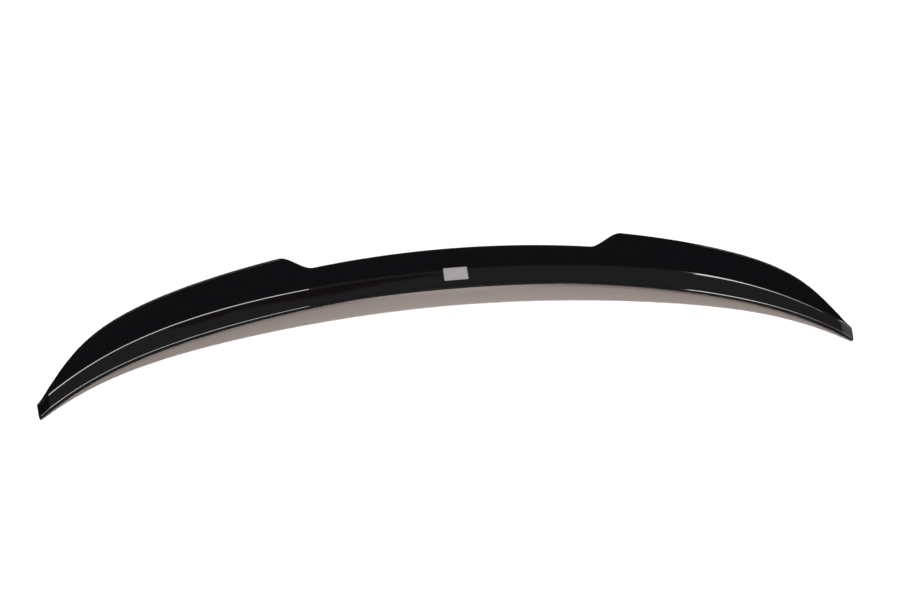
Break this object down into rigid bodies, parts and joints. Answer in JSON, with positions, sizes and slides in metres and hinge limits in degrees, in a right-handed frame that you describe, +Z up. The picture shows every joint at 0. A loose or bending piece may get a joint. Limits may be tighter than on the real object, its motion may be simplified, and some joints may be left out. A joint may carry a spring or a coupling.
{
  "type": "car rear spoiler",
  "caption": "Lip spoiler for a boot lid: a crescent-shaped open shell with a ramp, a steep kick face, a rounded lip and two raised wings.",
  "frame": {"origin": "centre of the base of the bounding box, on the floor that the spoiler rests on", "axes": "+X across the car, along the spoiler's length; +Y to the rear of the car, from the leading edge to the lip; +Z up"},
  "size_m": [1.2, 0.216, 0.0984],
  "materials": {
    "gloss_black_shell": "high gloss black, moulded in colour and polished",
    "sticker_film": "satin silver film"
  },
  "bodies": {
    "root": {"spoiler_shell": "gloss_black_shell", "sticker": "sticker_film"}
  },
  "joints": []
}
